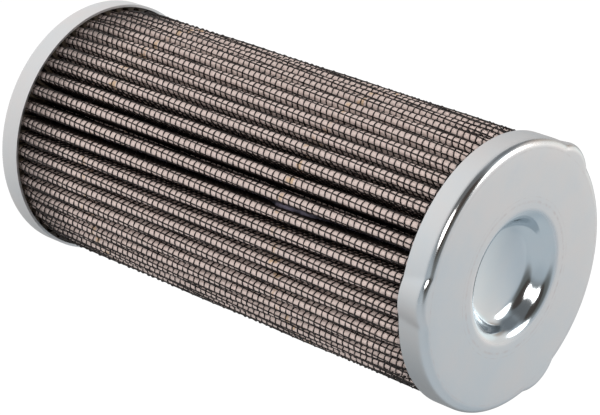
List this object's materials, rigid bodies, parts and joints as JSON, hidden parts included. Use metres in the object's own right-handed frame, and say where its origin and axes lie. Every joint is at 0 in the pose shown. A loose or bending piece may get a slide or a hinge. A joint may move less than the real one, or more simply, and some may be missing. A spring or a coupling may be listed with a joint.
{
  "type": "hydraulic filter",
  "caption": "Cylindrical hydraulic filter with a pleated wire-backed pack between a closed, dished end cap and an open end cap with an O-ring bore.",
  "frame": {"origin": "centre of the open end's flat face, on the axis, which is the plane the element stands on", "axes": "+Z along the element's axis from the open end to the closed end, +X towards the first centring lobe"},
  "size_m": [0.0531, 0.052, 0.11],
  "materials": {
    "zinc_sheet": "satin zinc plate with polished bends",
    "turned_steel": "turned",
    "seal_rubber": "matte",
    "core_steel": "zinc plated",
    "support_wire": "satin",
    "white_fleece": "matte",
    "glass_fibre": "matte",
    "black_wire": "epoxy coated, semi-matte",
    "seam_adhesive": "cured resin",
    "potting_resin": "cured resin"
  },
  "bodies": {
    "root": {"open_end_cap": "zinc_sheet", "seal_carrier": "turned_steel", "o_ring": "seal_rubber", "core_tube": "core_steel", "downstream_mesh": "support_wire", "drainage_fleece": "white_fleece", "fine_glass_layer": "glass_fibre", "coarse_glass_layer": "glass_fibre", "upstream_fleece": "white_fleece", "upstream_mesh": "black_wire", "side_seam": "seam_adhesive", "open_end_potting": "potting_resin", "closed_end_potting": "potting_resin", "closed_end_cap": "zinc_sheet"}
  },
  "joints": []
}
